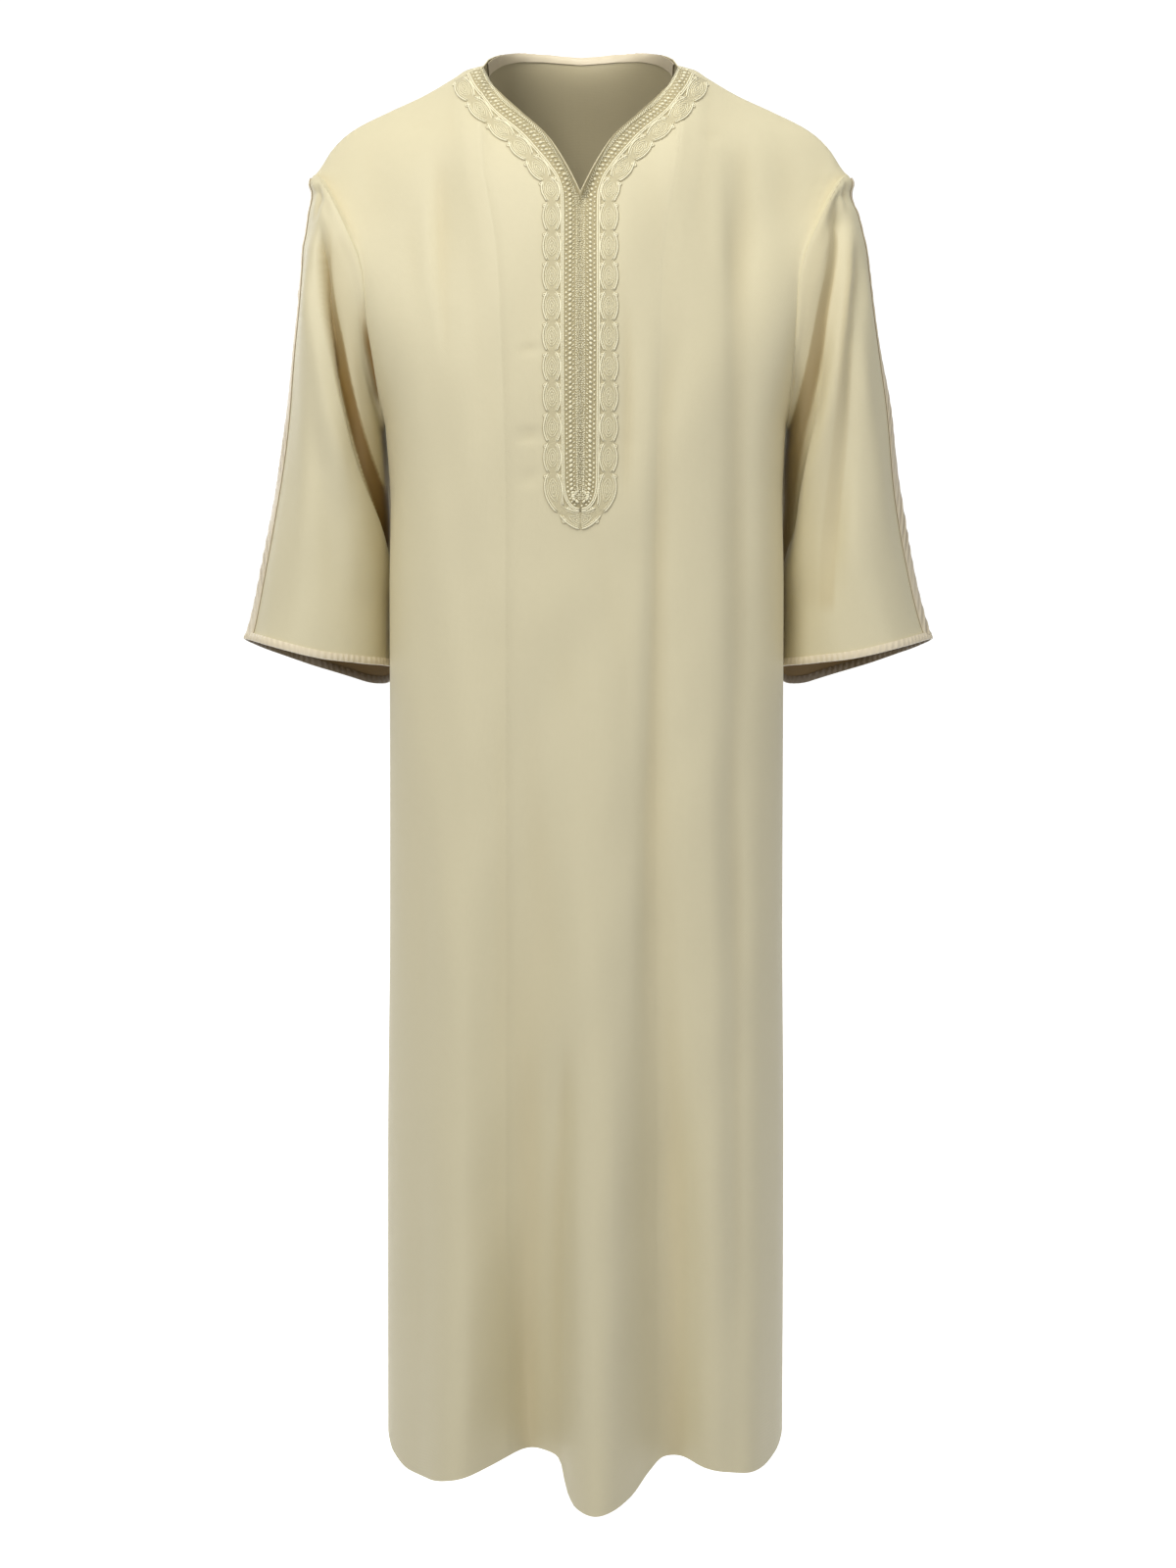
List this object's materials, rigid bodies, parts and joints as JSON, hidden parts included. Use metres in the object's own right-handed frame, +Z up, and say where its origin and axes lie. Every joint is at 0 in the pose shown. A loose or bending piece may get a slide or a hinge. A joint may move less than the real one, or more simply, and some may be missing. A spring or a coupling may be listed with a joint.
{
  "type": "thobe robe",
  "caption": "Ankle-length cloth robe with a notched V neck, braided neckline and placket, scroll border and wide elbow-length sleeves, hanging hollow as worn.",
  "frame": {"origin": "midway between the two neck points where the shoulder seams meet the neckline, where the wearer's shoulders hold the robe up", "axes": "+Z up, the front of the robe faces -Y, +X is the wearer's left"},
  "size_m": [0.6555, 0.3168, 1.3506],
  "materials": {
    "cloth": "smooth matte crepe with a soft sheen",
    "satin": "satin",
    "braid": "corded silk thread"
  },
  "bodies": {
    "root": {"front_panel": "cloth", "back_panel": "cloth", "sleeve_left": "cloth", "sleeve_right": "cloth", "tape_left": "satin", "tape_right": "satin", "binding_left": "satin", "binding_right": "satin", "neck_band": "satin", "braid_left": "braid", "braid_right": "braid", "scroll_left": "braid", "scroll_right": "braid"}
  },
  "joints": []
}
